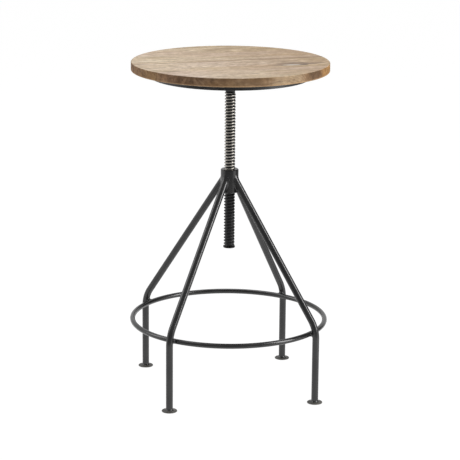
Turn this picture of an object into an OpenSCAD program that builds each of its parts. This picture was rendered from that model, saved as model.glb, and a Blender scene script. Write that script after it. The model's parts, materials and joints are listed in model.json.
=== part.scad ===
// Bar stool whose seat is set in height by a threaded spindle. A round wooden seat of edge-glued
// boards is screwed to a steel plate, the plate is welded to the spindle, and the spindle turns in
// a tapped hub that four bent rod legs carry. A foot ring is welded to the inside of the legs.
// The origin is on the floor below the spindle. +Z is up and the front is towards -Y.

/* [Seat] */
// Height of the seat's top above the floor, as the spindle is set
seat_height = 691; // [560:1:780]
// Diameter of the wooden seat
seat_d = 406; // [370:1:460]
// Thickness of the wooden seat
seat_t = 18; // [14:0.5:30]
// Rounding of the seat's top and bottom edges
seat_edge_r = 2; // [0.5:0.5:5]
// Width of the two inner boards
board_w = 100; // [80:1:120]
// Distance from the seat's centre to the middle glue line
glue_line_offset = 7; // [-20:1:20]
// Turn of the boards' grain from the left-right line, in degrees
grain_turn = 17; // [0:1:90]

/* [Seat plate] */
// Diameter of the steel plate under the seat
plate_d = 328; // [300:1:360]
// Thickness of the steel plate
plate_t = 3; // [2:0.5:6]
// Height of the hoop welded under the plate's edge
hoop_h = 10.5; // [4:0.5:20]
// Thickness of the hoop's strip
hoop_t = 3; // [2:0.5:6]
// Distance from the plate's edge to the middle of the wood screws
screw_inset = 22; // [14:0.5:50]
// Number of wood screws
screw_count = 8; // [4:1:12]
// Shank diameter of the wood screws
wood_screw_d = 4.5; // [3:0.5:6]
// How deep the wood screws go into the seat
wood_screw_bite = 12; // [6:0.5:13]

/* [Spindle] */
// Major diameter of the spindle's thread
thread_d = 22.5; // [18:0.5:28]
// Pitch of the thread
thread_pitch = 6.35; // [5:0.05:8]
// Depth of the thread
thread_depth = 2.3; // [1.5:0.1:3.5]
// Length of the threaded stretch
thread_length = 324; // [260:1:360]
// Diameter of the plain shank above the thread
shank_d = 23.6; // [22:0.1:32]
// Length of the plain shank, its tapered end included
shank_length = 43; // [20:1:60]
// Length of the taper between shank and thread
shank_taper = 5; // [2:0.5:10]
// Diameter of the stop washer on the spindle's lower end
washer_d = 24.6; // [23:0.1:34]
// Thickness of the stop washer
washer_t = 3.2; // [3:0.1:6]
// Diameter of the countersunk screw that holds the washer
stop_screw_d = 6; // [4:0.5:6]
// Length of the countersunk screw
stop_screw_length = 22; // [12:1:30]

/* [Hub] */
// Outer diameter of the tapped hub
hub_d = 37; // [34:0.5:46]
// Length of the hub
hub_h = 49; // [44:1:70]
// Height of the hub's lower face above the floor
hub_z = 418; // [380:1:430]

/* [Legs] */
// Diameter of the legs' round bar
leg_d = 14.3; // [10:0.1:18]
// Distance from the spindle's axis to the legs' upright stretch
leg_r = 214.8; // [200:0.1:240]
// Lean of the upper stretch from the upright, in degrees
leg_lean = 34.9; // [32:0.1:37]
// Radius of the bend, on the bar's centre line
leg_bend_r = 68; // [40:1:90]
// Height at which a leg's centre line reaches the hub's side
leg_joint_z = 440; // [436:0.5:446]
// Turn of the back right leg from the stool's left-right line, in degrees
leg_turn = 56.5; // [0:0.5:90]

/* [Foot ring] */
// Diameter of the ring's round bar
ring_d = 10.5; // [7:0.5:14]
// Height of the ring's centre line above the floor
ring_z = 146.7; // [90:0.1:200]

/* [Feet] */
// Diameter of the foot discs
foot_d = 31.5; // [26:0.5:40]
// Thickness of a foot disc at the leg
foot_t = 3; // [2.5:0.1:6]
// Thickness of a foot disc at its edge
foot_edge_t = 1.8; // [1:0.1:2.4]
// Diameter of the pad under each foot disc
pad_d = 25; // [15:0.5:25]
// Thickness of the pad
pad_t = 1.5; // [1:0.1:3]
// How far the pad stands out below the disc
pad_proud = 0.8; // [0.3:0.1:0.9]

/* [Fits] */
// Clearance between spindle and hub, radially on crest and root, and along the axis on each flank
thread_clearance = 0.2; // [0.1:0.01:0.4]
// Radial clearance of screws in their holes
screw_clearance = 0.1; // [0.05:0.01:0.3]
// Gap between ring and leg, which the weld fills
weld_gap = 0.2; // [0.1:0.05:1]
// Gap round a pad in its recess
pad_clearance = 0.2; // [0.1:0.05:0.5]

/* [Hidden] */
$fn = 96;

wood_colour = "#c6a27c";
black_colour = "#2c2c2e";
frame_colour = "#46464a";
steel_colour = "#8b8781";
pad_colour = "#26241f";

// Heights of the seat's layers and of the spindle
board_z = seat_height - seat_t;
plate_z = board_z - plate_t;
thread_top = plate_z - shank_length;
thread_bottom = thread_top - thread_length;
washer_z = thread_bottom - washer_t;

// Chamfers of the turned and rolled parts
small_chamfer = 0.4;
hoop_chamfer = 0.6;
hub_chamfer = 1.5;
pad_chamfer = 0.3;
foot_chamfer = 0.3;
foot_edge_round = 0.5;
// How far a cut runs past the face that it opens, and how far a bore runs past its screw's tip
over = 1;
drill_past = 3;

// Wood screws: pan heads in proportion to the shank, on a circle set in from the plate's edge
screw_circle_d = plate_d - 2 * screw_inset;
pan_head_r = wood_screw_d;
pan_head_h = 0.6 * wood_screw_d;
pan_flat_r = 0.6 * pan_head_r;
pan_side_h = pan_head_h / 2;
wood_screw_tip = wood_screw_d;

// Stop screw: countersunk head at 45 degrees with a hexagon socket, in proportion to the shank
stop_head_d = 2 * stop_screw_d;
stop_socket_d = 0.75 * stop_screw_d;
stop_socket_h = 0.45 * stop_screw_d;
stop_tip_chamfer = 0.6;

// Thread: the crests take just over a third of the pitch, and so do the roots
thread_sides = 16;
crest_w = 0.36 * thread_pitch;
flank_w = 0.14 * thread_pitch;
root_r = thread_d / 2 - thread_depth;
// The thread's ends run out just inside the root, and the hub's mouths open just past the crest
thread_end_r = root_r - 0.3;
mouth_past = 0.6;

// Legs: the bend starts at the height where the upright stretch ends
leg_count = 4;
bend_tangent = leg_bend_r * tan(leg_lean / 2);
bend_corner_z = leg_joint_z - (leg_r - hub_d / 2) / tan(leg_lean);
bend_z = bend_corner_z - bend_tangent;
bend_centre_r = leg_r - leg_bend_r;
slope_length = (bend_centre_r + leg_bend_r * cos(leg_lean)) / sin(leg_lean);
foot_top = pad_proud + foot_t;
// The bar swells by a hair where it is bent, and its straight stretches reach into the bend
bend_swell = 0.04;
bend_lap = 0.5;

// Foot ring: it lies against the inside of the legs, wherever along their bend its height falls
ring_offset = (leg_d + ring_d) / 2 + weld_gap;
ring_bend_r = leg_bend_r - ring_offset;
ring_rise = min(max(ring_z - bend_z, 0), ring_bend_r * sin(leg_lean));
ring_tilt = asin(ring_rise / ring_bend_r);
ring_past_bend = max(ring_z - bend_z - ring_rise, 0);
ring_r = bend_centre_r + ring_bend_r * cos(ring_tilt) - ring_past_bend * tan(leg_lean);

// Welds: reach of the bead at the hub, at the ring and at a foot. The bead at the hub hangs below
// the bar, where the corner is sharp. The thin beads are drawn finely.
hub_weld = 1.8;
hub_weld_drop = 2;
ring_weld = 2.2;
foot_weld = 2.2;
plate_weld = 6;
fine = 240;

// A point of the thread's profile: station k of the helix, corner j from 0 to 3 across the crest
function thread_point(k, j, core, crest, land, flank) =
    let (
        turn = 360 * k / thread_sides,
        r = (j == 1 || j == 2) ? crest : core,
        side = j < 2 ? -1 : 1,
        reach = (j == 1 || j == 2) ? land / 2 : land / 2 + flank
    )
    [r * cos(turn), r * sin(turn), thread_pitch * k / thread_sides + side * reach];

// Single-start right-hand thread as one closed body, longer than z_low to z_high at both ends. Its
// phase is fixed in the stool's frame, so spindle and hub mesh at every height of the seat.
module thread_body(core, crest, land, flank, z_low, z_high) {
    n = thread_sides;
    first = floor(z_low / thread_pitch * n) - 2 * n;
    last = ceil(z_high / thread_pitch * n) + 2 * n;
    stations = last - first;
    low_centre = 4 * (stations + 1);
    high_centre = low_centre + 1;
    points = [
        for (k = [first : last], j = [0 : 3]) thread_point(k, j, core, crest, land, flank),
        [0, 0, thread_pitch * first / n],
        [0, 0, thread_pitch * last / n]
    ];
    strip = [
        for (i = [0 : stations - 1], j = [0 : 2])
            each [[4*i + j, 4*i + j + 1, 4*i + j + 5], [4*i + j, 4*i + j + 5, 4*i + j + 4]]
    ];
    roots = [
        for (i = [0 : stations - 1 - n])
            each [[4*i + 3, 4*(i + n), 4*(i + n) + 4], [4*i + 3, 4*(i + n) + 4, 4*i + 7]]
    ];
    low_cap = [
        for (i = [0 : n - 1]) [4*i, 4*i + 4, low_centre],
        for (j = [0 : 2]) [j + 1, j, low_centre],
        [4*n, 3, low_centre]
    ];
    end = 4 * stations;
    high_cap = [
        for (i = [stations - n : stations - 1]) [4*i + 7, 4*i + 3, high_centre],
        for (j = [0 : 2]) [end + j, end + j + 1, high_centre],
        [end - 4*n + 3, end, high_centre]
    ];
    polyhedron(points = points, faces = concat(strip, roots, low_cap, high_cap), convexity = 20);
}

// Turned solid from half of its outline, as points [radius, height]
module turned(outline) {
    rotate_extrude() polygon(outline);
}

// Round bar with chamfered ends, standing on z
module chamfered_bar(d, h, z, c) {
    r = d / 2;
    turned([[0, z], [r - c, z], [r, z + c], [r, z + h - c], [r - c, z + h], [0, z + h]]);
}

// Concave weld fillet in the corner between an upright bar and the face below it
module fillet_ring(bar_r, size, z, drop = 0) {
    r = bar_r + size;
    rotate_extrude() difference() {
        polygon([[bar_r, z], [r, z - drop], [r, z + size], [bar_r, z + size]]);
        translate([r, z + size]) circle(r = size);
    }
}

// Points along a quarter circle round [r, z], counted anticlockwise from the angle start
function quarter(r, z, radius, start) =
    [for (a = [0 : 15 : 90]) [r + radius * cos(start + a), z + radius * sin(start + a)]];

// Whole wooden disc, with its edges rounded
module seat_disc() {
    r = seat_d / 2 - seat_edge_r;
    top = board_z + seat_t;
    turned(concat(
        [[0, board_z]],
        quarter(r, board_z + seat_edge_r, seat_edge_r, -90),
        quarter(r, top - seat_edge_r, seat_edge_r, 0),
        [[0, top]]
    ));
}

// Board n of the seat: a strip of the disc between two glue lines, with its pilot holes
module seat_board(n) {
    inner = glue_line_offset + (n - 3) * board_w;
    low = n == 1 ? -seat_d : inner;
    high = n == 4 ? seat_d : inner + board_w;
    color(wood_colour) rotate([0, 0, grain_turn]) difference() {
        intersection() {
            seat_disc();
            translate([-seat_d, low, board_z - over])
                cube([2 * seat_d, high - low, seat_t + 2 * over]);
        }
        at_screws() screw_hole(wood_screw_bite + over);
    }
}

// Places its children at each wood screw, counted from the grain's direction
module at_screws() {
    for (i = [0 : screw_count - 1])
        rotate([0, 0, (i + 0.5) * 360 / screw_count])
            translate([screw_circle_d / 2, 0, 0]) children();
}

// Hole for a wood screw's shank, from below the plate to the given depth in the wood
module screw_hole(depth) {
    translate([0, 0, plate_z - over])
        cylinder(d = wood_screw_d + 2 * screw_clearance, h = over + plate_t + depth);
}

module seat_plate() {
    color(black_colour) rotate([0, 0, grain_turn]) difference() {
        chamfered_bar(plate_d, plate_t, plate_z, small_chamfer);
        at_screws() screw_hole(over);
    }
}

// Strip of flat bar rolled into a hoop and welded on edge under the plate
module plate_hoop() {
    outer = plate_d / 2;
    inner = outer - hoop_t;
    low = plate_z - hoop_h;
    c = hoop_chamfer;
    color(black_colour) turned([
        [inner, low], [outer - c, low], [outer, low + c], [outer, plate_z], [inner, plate_z]
    ]);
}

// Pan-head wood screws that come up through the plate into the boards
module plate_screws() {
    shank_r = wood_screw_d / 2;
    top = board_z + wood_screw_bite;
    color(steel_colour) rotate([0, 0, grain_turn]) at_screws() turned([
        [0, plate_z - pan_head_h], [pan_flat_r, plate_z - pan_head_h],
        [pan_head_r, plate_z - pan_side_h], [pan_head_r, plate_z],
        [shank_r, plate_z], [shank_r, top - wood_screw_tip], [0, top]
    ]);
}

// Threaded rod with a plain shank at the top and a tapped hole for the stop screw at the bottom
module spindle() {
    shank_r = shank_d / 2;
    blank_r = thread_d / 2 + over;
    hole_depth = stop_screw_length - washer_t + drill_past;
    color(steel_colour) difference() {
        union() {
            intersection() {
                thread_body(root_r, thread_d / 2, crest_w, flank_w, thread_bottom, thread_top);
                turned([
                    [0, thread_bottom], [thread_end_r, thread_bottom],
                    [blank_r, thread_bottom + blank_r - thread_end_r],
                    [blank_r, thread_top + over], [0, thread_top + over]
                ]);
            }
            turned([
                [0, thread_top], [thread_end_r, thread_top], [shank_r, thread_top + shank_taper],
                [shank_r, plate_z], [0, plate_z]
            ]);
        }
        translate([0, 0, thread_bottom - over])
            cylinder(d = stop_screw_d + 2 * screw_clearance, h = hole_depth + over);
    }
}

// Fillet between the shank and the plate above it
module spindle_weld() {
    color(black_colour) translate([0, 0, 2 * plate_z]) mirror([0, 0, 1])
        fillet_ring(shank_d / 2, plate_weld, plate_z);
}

// Washer that meets the hub from below and ends the seat's travel
module stop_washer() {
    hole_r = stop_screw_d / 2 + screw_clearance;
    head_r = stop_head_d / 2 + screw_clearance;
    c = small_chamfer;
    r = washer_d / 2;
    color(steel_colour) turned([
        [head_r, washer_z], [r - c, washer_z], [r, washer_z + c],
        [r, thread_bottom - c], [r - c, thread_bottom], [hole_r, thread_bottom],
        [hole_r, washer_z + head_r - hole_r]
    ]);
}

// Countersunk machine screw with a hexagon socket, flush with the washer
module stop_screw() {
    shank_r = stop_screw_d / 2;
    head_r = stop_head_d / 2;
    top = washer_z + stop_screw_length;
    c = stop_tip_chamfer;
    color(steel_colour) difference() {
        turned([
            [0, washer_z], [head_r, washer_z], [shank_r, washer_z + head_r - shank_r],
            [shank_r, top - c], [shank_r - c, top], [0, top]
        ]);
        translate([0, 0, washer_z - over])
            cylinder(d = stop_socket_d, h = over + stop_socket_h, $fn = 6);
    }
}

// Turned hub with the spindle's thread cut through it
module hub() {
    corner = 1 / cos(180 / thread_sides);
    crest_r = (thread_d / 2 + thread_clearance) * corner;
    core_r = (root_r + thread_clearance) * corner;
    mouth_r = crest_r + mouth_past;
    inner_r = core_r - over / 2;
    top = hub_z + hub_h;
    color(frame_colour) difference() {
        chamfered_bar(hub_d, hub_h, hub_z, hub_chamfer);
        thread_body(core_r, crest_r, crest_w + 2 * thread_clearance, flank_w, hub_z, top);
        turned([
            [0, hub_z - over], [mouth_r + over, hub_z - over],
            [inner_r, hub_z + mouth_r - inner_r], [0, hub_z + mouth_r - inner_r]
        ]);
        turned([
            [0, top + over], [mouth_r + over, top + over],
            [inner_r, top - mouth_r + inner_r], [0, top - mouth_r + inner_r]
        ]);
    }
}

// Turns its children to leg n, counted from the back right leg through the back left
module at_leg(n) {
    rotate([0, 0, leg_turn + n * 360 / leg_count]) children();
}

// Round bar of a leg, from its foot to the spindle's axis, in the plane of +X and +Z
module leg_bar(sides = $fn) {
    translate([leg_r, 0, foot_top])
        cylinder(d = leg_d, h = bend_z - foot_top + bend_lap, $fn = sides);
    translate([bend_centre_r, 0, bend_z]) rotate([90, 0, 0])
        rotate_extrude(angle = leg_lean, $fn = sides)
            translate([leg_bend_r, 0]) circle(d = leg_d + bend_swell, $fn = sides);
    sloping_bar(leg_d, bend_lap, sides);
}

// Straight bar on the centre line of a leg's sloping stretch, from the bend's end to the axis
module sloping_bar(d, lap = 0, sides = $fn) {
    translate([bend_centre_r, 0, bend_z]) rotate([0, -leg_lean, 0])
        translate([leg_bend_r, 0, -lap]) cylinder(d = d, h = slope_length + lap, $fn = sides);
}

// Upright cylinder round the spindle's axis that takes in the hub and the legs' upper ends
module hub_column(d) {
    translate([0, 0, hub_z - hub_h]) cylinder(d = d, h = 3 * hub_h);
}

// Leg n, with its upper end coped to the hub's side
module leg(n) {
    color(frame_colour) at_leg(n) difference() {
        leg_bar();
        hub_column(hub_d);
    }
}

// Bead of weld round the upper end of each leg
module hub_welds() {
    color(frame_colour) for (n = [0 : leg_count - 1]) at_leg(n) difference() {
        intersection() {
            translate([0, 0, -hub_weld_drop]) sloping_bar(leg_d + 2 * hub_weld);
            hub_column(hub_d + 2 * hub_weld);
        }
        leg_bar();
        hub_column(hub_d);
    }
}

module ring_bar(sides = $fn) {
    translate([0, 0, ring_z]) rotate_extrude($fn = sides)
        translate([ring_r, 0]) circle(d = ring_d, $fn = sides);
}

module foot_ring() {
    color(frame_colour) ring_bar();
}

// Weld that fills the corner where the ring touches each leg
module ring_welds() {
    depth = (ring_d + weld_gap) / 2;
    r = ring_d / 2 + ring_weld;
    color(frame_colour) for (n = [0 : leg_count - 1]) at_leg(n) difference() {
        translate([ring_r + depth * cos(ring_tilt), 0, ring_z + depth * sin(ring_tilt)])
            sphere(r = r);
        leg_bar(fine);
        ring_bar(fine);
    }
}

// Shallow dished disc welded under a leg, with a recess for its pad
module foot_disc(n) {
    r = foot_d / 2;
    recess_r = pad_d / 2 + pad_clearance;
    recess_z = pad_t;
    color(frame_colour) at_leg(n) translate([leg_r, 0, 0]) turned([
        [0, recess_z], [recess_r, recess_z], [recess_r, pad_proud],
        [r - foot_chamfer, pad_proud], [r, pad_proud + foot_chamfer],
        [r, pad_proud + foot_edge_t - foot_edge_round],
        [r - foot_edge_round, pad_proud + foot_edge_t],
        [leg_d / 2, foot_top], [0, foot_top]
    ]);
}

// Fillet round the lower end of each leg
module foot_welds() {
    slope = (foot_t - foot_edge_t) / ((foot_d - leg_d) / 2 - foot_edge_round);
    color(frame_colour) for (n = [0 : leg_count - 1]) at_leg(n) translate([leg_r, 0, 0])
        fillet_ring(leg_d / 2, foot_weld, foot_top, foot_weld * slope);
}

module foot_pad(n) {
    color(pad_colour) at_leg(n) translate([leg_r, 0, 0])
        chamfered_bar(pad_d, pad_t, 0, pad_chamfer);
}

seat_board(1);  // seat_board_1
seat_board(2);  // seat_board_2
seat_board(3);  // seat_board_3
seat_board(4);  // seat_board_4
seat_plate();
plate_hoop();
plate_screws();
spindle();
spindle_weld();
stop_washer();
stop_screw();
hub();
hub_welds();
leg(0);  // leg_back_right
leg(1);  // leg_back_left
leg(2);  // leg_front_left
leg(3);  // leg_front_right
foot_ring();
ring_welds();
foot_disc(0);  // foot_back_right
foot_disc(1);  // foot_back_left
foot_disc(2);  // foot_front_left
foot_disc(3);  // foot_front_right
foot_welds();
foot_pad(0);  // pad_back_right
foot_pad(1);  // pad_back_left
foot_pad(2);  // pad_front_left
foot_pad(3);  // pad_front_right
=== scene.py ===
import json
import math
import bpy
from mathutils import Matrix, Vector


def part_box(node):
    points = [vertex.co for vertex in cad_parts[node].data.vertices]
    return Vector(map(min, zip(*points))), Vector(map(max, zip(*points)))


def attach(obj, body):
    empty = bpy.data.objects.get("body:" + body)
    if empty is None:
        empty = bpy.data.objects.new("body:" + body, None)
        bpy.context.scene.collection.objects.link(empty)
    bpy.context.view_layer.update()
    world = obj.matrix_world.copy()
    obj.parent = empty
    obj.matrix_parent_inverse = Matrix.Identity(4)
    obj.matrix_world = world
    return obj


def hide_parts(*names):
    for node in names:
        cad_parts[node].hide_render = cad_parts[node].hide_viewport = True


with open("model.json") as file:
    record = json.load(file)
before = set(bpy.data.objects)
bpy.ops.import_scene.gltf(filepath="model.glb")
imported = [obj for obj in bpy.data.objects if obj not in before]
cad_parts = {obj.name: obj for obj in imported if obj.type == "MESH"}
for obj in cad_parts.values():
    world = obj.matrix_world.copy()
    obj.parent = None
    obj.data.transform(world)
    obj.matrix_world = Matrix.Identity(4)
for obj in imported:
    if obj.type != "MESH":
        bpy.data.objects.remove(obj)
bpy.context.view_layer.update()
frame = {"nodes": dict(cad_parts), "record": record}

nodes = frame["nodes"]
scene = bpy.context.scene
white = (1, 1, 1, 1)
touching = 0.00001       # points closer than this count as one, in metres
print("frame loaded,", len(nodes), "nodes")


# sizes read from the frame, in metres

def spanOf(nodeName):
    low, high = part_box(nodeName)
    return Vector(low), Vector(high)


hubLow, hubHigh = spanOf("hub")
hubRadius = (hubHigh.x - hubLow.x) / 2
spindleLow, spindleHigh = spanOf("spindle")
seatLow, seatHigh = spanOf("seat_board_2")
ringLow, ringHigh = spanOf("foot_ring")
screwLow, screwHigh = spanOf("plate_screws")


# short helpers for node trees: most of them make a node and give its output
class Tree:
    def __init__(self, nodeTree):
        self.tree = nodeTree

    # links the socket when the value comes from another node, or else sets it
    def feed(self, socket, value):
        if isinstance(value, bpy.types.NodeSocket):
            self.tree.links.new(value, socket)
        else:
            socket.default_value = value

    # feeds a node's inputs, named with _ for a space
    def fill(self, made, inputs):
        for key, value in inputs.items():
            self.feed(made.inputs[key.replace("_", " ")], value)

    def node(self, kind, settings=None, **inputs):
        made = self.tree.nodes.new(kind)
        for key, value in (settings or {}).items():
            setattr(made, key, value)
        self.fill(made, inputs)
        return made

    def first(self, kind, settings=None, **inputs):
        return self.node(kind, settings, **inputs).outputs[0]

    def worked(self, kind, operation, values):
        made = self.node(kind, {"operation": operation})
        for socket, value in zip(made.inputs, values):
            self.feed(socket, value)
        return made.outputs

    def math(self, operation, *values):
        return self.worked("ShaderNodeMath", operation, values)[0]

    def plus(self, one, two):
        return self.math("ADD", one, two)

    def minus(self, one, two):
        return self.math("SUBTRACT", one, two)

    def times(self, one, two):
        return self.math("MULTIPLY", one, two)

    def over(self, one, two):
        return self.math("DIVIDE", one, two)

    def timesPlus(self, one, two, three):
        return self.math("MULTIPLY_ADD", one, two, three)

    def least(self, one, two):
        return self.math("MINIMUM", one, two)

    def most(self, one, two):
        return self.math("MAXIMUM", one, two)

    # how far apart two values are
    def apart(self, one, two):
        return self.math("ABSOLUTE", self.minus(one, two))

    def vector(self, operation, *values):
        result = "Value" if operation in ("LENGTH", "DOT_PRODUCT") else "Vector"
        return self.worked("ShaderNodeVectorMath", operation, values)[result]

    def point(self, x=0.0, y=0.0, z=0.0):
        return self.first("ShaderNodeCombineXYZ", X=x, Y=y, Z=z)

    def parts(self, point):
        return self.node("ShaderNodeSeparateXYZ", Vector=point).outputs[:]

    # length of the long side of a right angle
    def reach(self, one, two):
        return self.vector("LENGTH", self.point(one, two))

    # direction round from +X, in degrees
    def azimuth(self, x, y):
        return self.times(self.math("ARCTAN2", y, x), 180 / math.pi)

    # steady step from 0 at low to 1 at high
    def step(self, value, low, high, smooth=True):
        return self.first("ShaderNodeMapRange",
                          {"interpolation_type": "SMOOTHSTEP" if smooth else "LINEAR"},
                          Value=value, From_Min=low, From_Max=high)

    def mix(self, factor, first, second, blend="MIX"):
        made = self.node("ShaderNodeMix", {"data_type": "RGBA", "blend_type": blend})
        self.feed(made.inputs["Factor"], factor)
        self.feed(made.inputs[6], first)
        self.feed(made.inputs[7], second)
        return made.outputs[2]

    def tint(self, colour, tone):
        return self.mix(1.0, colour, tone, "MULTIPLY")

    def noise(self, place, scale=1.0, detail=2.0, roughness=0.5):
        return self.first("ShaderNodeTexNoise", Vector=place, Scale=scale, Detail=detail,
                          Roughness=roughness)


# a colour as it is read off a screen, turned to the linear values that shaders take
def screenColour(red, green, blue):
    def linear(level):
        level = level / 255
        return level / 12.92 if level <= 0.04045 else ((level + 0.055) / 1.055) ** 2.4
    return (linear(red), linear(green), linear(blue), 1.0)


# camera at the photograph's place, as fitted to the seat, ring, legs and feet
camera = {
    "distance": 4.0662,
    "height": 1.3682,
    "pitch": 14.137,
    "yaw": 0.023,
    "roll": 0.468,
    "focal": 2017.4,         # in pixels of the square frame
    "centreRow": 226.36,     # row of the principal point
    "frameSize": 460,
    "sensor": 36,            # in millimetres
    "farthest": 60,
}


def makeCamera():
    lens = bpy.data.cameras.new("stoolCamera")
    lens.sensor_width = camera["sensor"]
    lens.lens = lens.sensor_width * camera["focal"] / camera["frameSize"]
    lens.shift_y = -(camera["frameSize"] / 2 - camera["centreRow"]) / camera["frameSize"]
    lens.clip_end = camera["farthest"]
    made = bpy.data.objects.new("stoolCamera", lens)
    turned = (Matrix.Rotation(math.radians(-camera["yaw"]), 4, "Z")
              @ Matrix.Rotation(math.radians(90 - camera["pitch"]), 4, "X")
              @ Matrix.Rotation(math.radians(camera["roll"]), 4, "Z"))
    made.matrix_world = Matrix.Translation((0, -camera["distance"], camera["height"])) @ turned
    scene.collection.objects.link(made)
    scene.camera = made


makeCamera()
print("camera placed")


# studio: white floor and background, a tall soft box at the right and a little in front as the
# key, a wide one above and behind, a weak one at the left, and greys that only gloss mirrors
studio = {
    "worldLight": 0.45,      # what the plain world gives to matt surfaces
    "nearSide": 0.25,        # how bright gloss mirrors the camera's side of the room
    "nearTo": -0.75,         # which reaches to here, from -1 in front to 1 behind
    "farSide": 0.75,         # how bright it mirrors the side behind the stool
    "farFrom": 0.7,          # which starts here
    "flagAround": 24,        # direction of the dark flag that gives bars a dark right edge
    "flagHalf": 34,
    "flagShade": 0.95,
    "roomFrom": 0.5,         # from here out gloss sees less floor and more of the room
    "roomTo": 1.3,
    "poolAround": -28,       # direction of the pool of light that gloss sees on the floor
    "poolHalf": 26,
    "poolFrom": 0.35,
    "poolTo": 0.7,
    "poolLight": 0.7,
    "floorSize": 14.0,
    "floorDrop": 0.0003,
    "floorWhite": 1.08,
    "floorGlow": 0.88,       # share of the seen floor that glows, the rest takes the shadow
    "paper": (0.85, 0.85, 0.85, 1),
    "boxes": [
        # name, direction round from +X and up from the floor, distance, width, height, watts
        ("keyBox", -22, 24, 2.3, 0.75, 2.0, 42),
        ("topBox", 110, 62, 2.2, 1.8, 1.5, 13.5),
        ("leftBox", 172, 28, 2.5, 0.8, 1.6, 12),
    ],
    "aim": (0, 0, 0.42),
}


def makeSoftBox(name, around, up, distance, width, height, watts):
    light = bpy.data.lights.new(name, "AREA")
    light.shape = "RECTANGLE"
    light.size = width
    light.size_y = height
    light.energy = watts
    made = bpy.data.objects.new(name, light)
    around = math.radians(around)
    up = math.radians(up)
    away = Vector((math.cos(around) * math.cos(up), math.sin(around) * math.cos(up), math.sin(up)))
    made.location = Vector(studio["aim"]) + distance * away
    made.rotation_euler = away.to_track_quat("Z", "Y").to_euler()
    scene.collection.objects.link(made)


# what gloss mirrors of the room: dim on the camera's side, white to the left and right, and
# greyer again behind the stool, with a dark flag at the right
def roomLight(tree, aside, ahead):
    near = tree.step(ahead, studio["nearTo"], 0.0)
    level = tree.timesPlus(near, 1 - studio["nearSide"], studio["nearSide"])
    far = tree.step(ahead, 0.0, studio["farFrom"])
    level = tree.timesPlus(far, studio["farSide"] - 1, level)
    off = tree.apart(tree.azimuth(aside, ahead), studio["flagAround"])
    flag = tree.step(off, studio["flagHalf"], 0.5 * studio["flagHalf"])
    return tree.times(level, tree.timesPlus(flag, -studio["flagShade"], 1.0))


# what gloss mirrors of the floor: white near the stool, further out like the room, and with a
# bright pool below the key box
def floorLight(tree):
    place = tree.node("ShaderNodeTexCoord").outputs["Object"]
    out = tree.vector("LENGTH", place)
    off = tree.apart(tree.azimuth(*tree.parts(place)[:2]), studio["poolAround"])
    pool = tree.times(tree.step(off, studio["poolHalf"], 0.0),
                      tree.step(out, studio["poolFrom"], studio["poolTo"]))
    room = roomLight(tree, *tree.parts(tree.vector("NORMALIZE", place))[:2])
    far = tree.step(out, studio["roomFrom"], studio["roomTo"])
    level = tree.timesPlus(far, tree.minus(room, 1.0), 1.0)
    return tree.timesPlus(pool, studio["poolLight"], level)


# whether a ray comes from the camera, and whether it was mirrored or passed through
def rayKinds(tree):
    rays = tree.node("ShaderNodeLightPath").outputs
    return rays["Is Camera Ray"], tree.most(rays["Is Glossy Ray"], rays["Is Transmission Ray"])


# the emptied tree of a world or a material
def blankTree(owner):
    owner.use_nodes = True
    owner.node_tree.nodes.clear()
    return Tree(owner.node_tree)


def makeWorld():
    world = bpy.data.worlds.new("studioWorld")
    tree = blankTree(world)
    seen, mirrored = rayKinds(tree)
    direction = tree.node("ShaderNodeTexCoord").outputs["Generated"]
    room = roomLight(tree, *tree.parts(direction)[:2])
    strength = tree.plus(seen, tree.times(mirrored, room))
    matt = tree.minus(1.0, tree.most(seen, mirrored))
    strength = tree.timesPlus(matt, studio["worldLight"], strength)
    light = tree.first("ShaderNodeBackground", Color=white, Strength=strength)
    tree.node("ShaderNodeOutputWorld", Surface=light)
    scene.world = world


def makeFloor():
    half = studio["floorSize"] / 2
    mesh = bpy.data.meshes.new("floor")
    mesh.from_pydata([(half * x, half * y, -studio["floorDrop"])
                      for x, y in ((-1, -1), (1, -1), (1, 1), (-1, 1))], [], [(0, 1, 2, 3)])
    floor = bpy.data.objects.new("floor", mesh)
    scene.collection.objects.link(floor)
    paper = bpy.data.materials.new("paperFloor")
    tree = blankTree(paper)
    seen, mirrored = rayKinds(tree)
    matt = tree.first("ShaderNodeBsdfDiffuse", Color=studio["paper"])
    strength = tree.timesPlus(tree.minus(1.0, seen), tree.minus(floorLight(tree), 1.0), 1.0)
    strength = tree.times(strength, studio["floorWhite"])
    glow = tree.first("ShaderNodeEmission", Color=white, Strength=strength)
    share = tree.times(tree.most(seen, mirrored), studio["floorGlow"])
    both = tree.node("ShaderNodeMixShader", Fac=share)
    tree.feed(both.inputs[1], matt)
    tree.feed(both.inputs[2], glow)
    tree.node("ShaderNodeOutputMaterial", Surface=both.outputs[0])
    mesh.materials.append(paper)


for box in studio["boxes"]:
    makeSoftBox(*box)
makeWorld()
makeFloor()
scene.view_settings.view_transform = "Standard"
print("studio ready")


# the thread's crest and root, measured on the frame's spindle between shank and stop screw
def measureThread(aboveLow=0.05, belowHigh=0.07):
    out = [math.hypot(vertex.co.x, vertex.co.y) for vertex in nodes["spindle"].data.vertices
           if spindleLow.z + aboveLow < vertex.co.z < spindleHigh.z - belowHigh]
    return max(out), min(out)


threadCrest, threadRoot = measureThread()

# what the spindle's thread measures, its pitch worked out from the coupling of lift to turn
thread = {
    "pitch": 2 * math.pi * frame["record"]["behaviour"]["couplings"][0]["ratio"],
    "crestRadius": threadCrest,
    "rootRadius": threadRoot,
    "crestShare": 0.36,      # part of the pitch that the flat crest takes
    "flankShare": 0.14,
    "cornerRadius": 0.00035,
    "top": spindleHigh.z - 0.043,
    "taper": 0.005,
    "shankRadius": 0.0118,
    "endGap": 0.0003,        # how much thinner than the root the rod's ends are
    "runOut": 0.001,         # height over which the thread fades at its top
    "sides": 64,
}


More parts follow.
